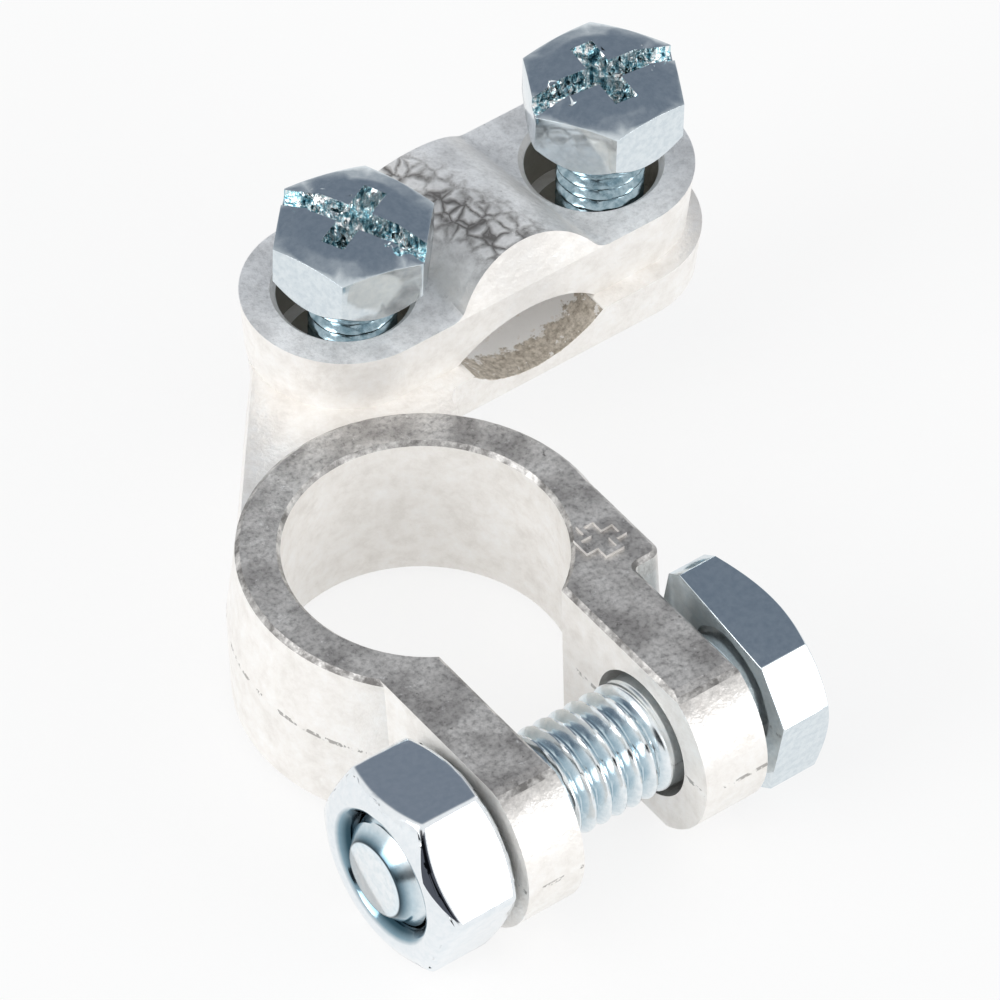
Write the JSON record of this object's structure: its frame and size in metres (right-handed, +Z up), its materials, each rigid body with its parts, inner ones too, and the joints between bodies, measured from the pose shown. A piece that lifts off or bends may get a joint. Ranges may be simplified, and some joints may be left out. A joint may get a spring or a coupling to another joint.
{
  "type": "battery terminal clamp",
  "caption": "Cast battery post clamp: a split tapered ring drawn together by a bolt across its ears, with a saddle cap that screws clamp over the cable.",
  "frame": {"origin": "axis of the post bore, in the plane of the casting's lower faces", "axes": "+Z up the post, out of the top of the bore; +Y from the ears towards the cable saddle; +X along the pinch bolt, towards its head"},
  "size_m": [0.0517, 0.0502, 0.0265],
  "materials": {
    "cast_alloy": "tin-plated as-cast brass, satin with fine grain",
    "zinc_steel": "bright blue-passivated zinc on steel"
  },
  "bodies": {
    "terminal": {"terminal_body": "cast_alloy"},
    "saddle_cap": {"cable_saddle": "cast_alloy"},
    "left_screw": {"left_screw": "zinc_steel"},
    "right_screw": {"right_screw": "zinc_steel"},
    "pinch_bolt": {"pinch_bolt": "zinc_steel"},
    "pinch_nut": {"pinch_nut": "zinc_steel"}
  },
  "joints": [
    {"name": "cap_lift", "type": "slide", "parent": "terminal", "child": "saddle_cap", "axis": [0, 0, 1], "range_m": [0, 0.0017]},
    {"name": "left_screw_turn", "type": "hinge", "parent": "terminal", "child": "left_screw", "pos_m": [0.0073, 0.0179, 0.0122], "axis": [0, 0, 1], "continuous": true},
    {"name": "right_screw_turn", "type": "hinge", "parent": "terminal", "child": "right_screw", "pos_m": [0.028, 0.0179, 0.0122], "axis": [0, 0, 1], "continuous": true},
    {"name": "bolt_play", "type": "slide", "parent": "terminal", "child": "pinch_bolt", "axis": [1, 0, 0], "range_m": [-0.0011, 0.00025]},
    {"name": "nut_turn", "type": "hinge", "parent": "pinch_bolt", "child": "pinch_nut", "pos_m": [-0.013, -0.0169, 0.0063], "axis": [1, 0, 0], "continuous": true}
  ]
}
